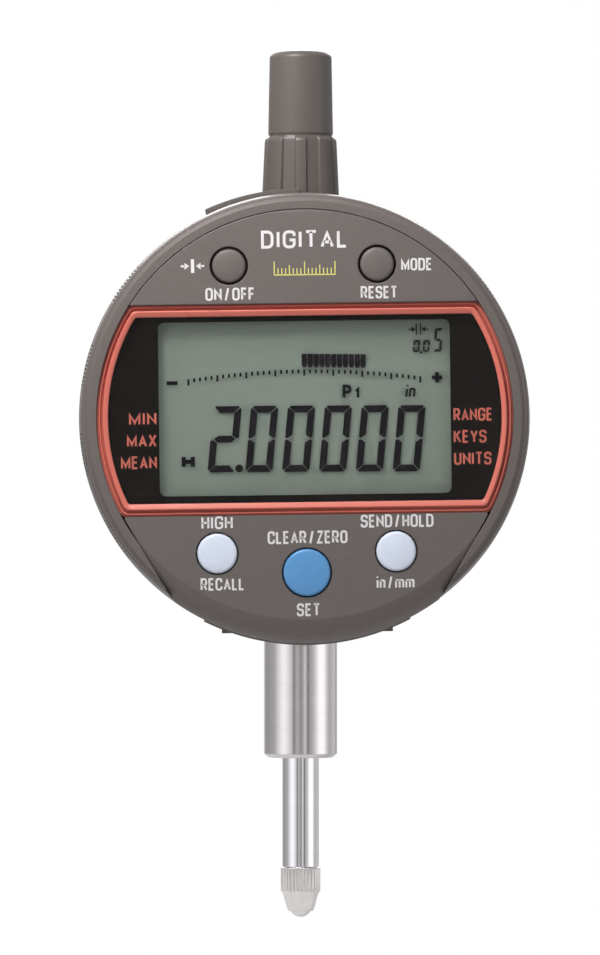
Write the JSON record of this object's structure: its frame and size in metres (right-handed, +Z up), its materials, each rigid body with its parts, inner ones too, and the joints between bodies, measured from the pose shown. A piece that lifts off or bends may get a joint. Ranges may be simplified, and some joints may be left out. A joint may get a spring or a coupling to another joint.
{
  "type": "dial indicator",
  "caption": "Round-faced digital plunger indicator with a stem, spring-returned spindle, turning display head, push buttons and a lug back.",
  "frame": {"origin": "on the stem's axis, half way down the bare stem, where a clamp holds it", "axes": "+Z up along the spindle, from the contact ball to the cap; -Y out of the display's face; +X to the display's right"},
  "size_m": [0.0583, 0.0377, 0.1125],
  "materials": {
    "body_plastic": "warm grey moulded plastic with a fine matte grain",
    "cap_plastic": "darker warm grey moulded plastic, matte",
    "cover_rubber": "dark grey soft rubber",
    "black_rubber": "black rubber",
    "ground_steel": "satin ground stainless steel",
    "spring_steel": "bright spring wire",
    "screw_steel": "zinc plated steel",
    "bronze": "turned bronze bearing metal",
    "polished_spindle": "polished hardened steel",
    "matte_nickel": "matte nickel plated steel",
    "carbide": "polished grey carbide",
    "circuit_board": "green solder mask on glass epoxy",
    "black_plastic": "black moulded plastic",
    "amber_film": "amber polyimide film",
    "scale_glass": "scale glass with fine electrodes",
    "red_trim": "satin red trim",
    "clear_lens": "clear acrylic window with a black printed border",
    "display_glass": "grey-green liquid crystal display",
    "pale_button": "pale bluish white button plastic",
    "blue_button": "blue button plastic",
    "cell_steel": "stainless cell case"
  },
  "bodies": {
    "housing": {"rear_housing": "body_plastic", "back_cover": "body_plastic", "cover_gasket": "black_rubber", "stem": "ground_steel", "stem_seal": "black_rubber", "lower_bush": "bronze", "upper_bush": "bronze", "neck_bush": "bronze", "retaining_ring": "ground_steel", "friction_washer": "ground_steel", "detector_board": "circuit_board", "detector_head": "black_plastic", "interface_chip": "black_plastic", "port_connector": "black_plastic", "flex_cable": "amber_film", "guide_rail": "ground_steel", "spring_post": "ground_steel", "cover_screw_1": "screw_steel", "cover_screw_2": "screw_steel", "cover_screw_3": "screw_steel", "cover_screw_4": "screw_steel", "return_spring": "spring_steel"},
    "spindle": {"spindle": "polished_spindle", "contact_point": "matte_nickel", "contact_ball": "carbide", "stop_ring": "ground_steel", "scale_carrier": "matte_nickel", "encoder_scale": "scale_glass", "clamp_screw": "screw_steel", "guide_pin": "ground_steel", "spring_pin": "ground_steel"},
    "face": {"bezel_ring": "body_plastic", "upper_panel": "body_plastic", "lower_panel": "body_plastic", "window_frame": "red_trim", "window_lens": "clear_lens", "display_carrier": "black_plastic", "display_glass": "display_glass", "upper_contact_strip": "black_rubber", "lower_contact_strip": "black_rubber", "display_board": "circuit_board", "processor_chip": "black_plastic", "face_plate": "black_plastic", "cell_spring_contact": "matte_nickel", "cell_side_contact": "matte_nickel", "face_screw_1": "screw_steel", "face_screw_2": "screw_steel", "face_screw_3": "screw_steel", "face_screw_4": "screw_steel", "upper_switch_sheet": "amber_film", "lower_switch_sheet": "amber_film"},
    "button_power": {"button_power": "body_plastic"},
    "button_menu": {"button_menu": "body_plastic"},
    "button_peak": {"button_peak": "pale_button"},
    "button_hold": {"button_hold": "pale_button"},
    "button_zero": {"button_zero": "blue_button"},
    "battery_tray": {"battery_tray": "body_plastic", "coin_cell": "cell_steel"},
    "spindle_cap": {"spindle_cap": "cap_plastic"},
    "port_cover": {"port_cover": "cover_rubber"}
  },
  "joints": [
    {"name": "spindle_slide", "type": "slide", "parent": "housing", "child": "spindle", "axis": [0, 0, 1], "range_m": [0, 0.0127], "stiffness_N_per_m": 25, "springref_m": -0.024, "deforming": ["return_spring"]},
    {"name": "face_turn", "type": "hinge", "parent": "housing", "child": "face", "pos_m": [0.00045, 0, 0.03665], "axis": [0, 1, 0], "range_deg": [-165, 165]},
    {"name": "power_press", "type": "slide", "parent": "face", "child": "button_power", "axis": [0, 1, 0], "range_m": [0, 0.0006], "stiffness_N_per_m": 1200, "springref_m": -0.0004},
    {"name": "menu_press", "type": "slide", "parent": "face", "child": "button_menu", "axis": [0, 1, 0], "range_m": [0, 0.0006], "stiffness_N_per_m": 1200, "springref_m": -0.0004},
    {"name": "peak_press", "type": "slide", "parent": "face", "child": "button_peak", "axis": [0, 1, 0], "range_m": [0, 0.0006], "stiffness_N_per_m": 1200, "springref_m": -0.0004},
    {"name": "hold_press", "type": "slide", "parent": "face", "child": "button_hold", "axis": [0, 1, 0], "range_m": [0, 0.0006], "stiffness_N_per_m": 1200, "springref_m": -0.0004},
    {"name": "zero_press", "type": "slide", "parent": "face", "child": "button_zero", "axis": [0, 1, 0], "range_m": [0, 0.0006], "stiffness_N_per_m": 1200, "springref_m": -0.0004},
    {"name": "tray_slide", "type": "slide", "parent": "face", "child": "battery_tray", "axis": [0.0131, 0, -0.9999], "range_m": [0, 0.026]},
    {"name": "cap_lift", "type": "slide", "parent": "housing", "child": "spindle_cap", "axis": [0, 0, 1], "range_m": [0, 0.02]},
    {"name": "port_cover_pull", "type": "slide", "parent": "housing", "child": "port_cover", "axis": [-0.309, 0, 0.9511], "range_m": [0, 0.012]}
  ]
}
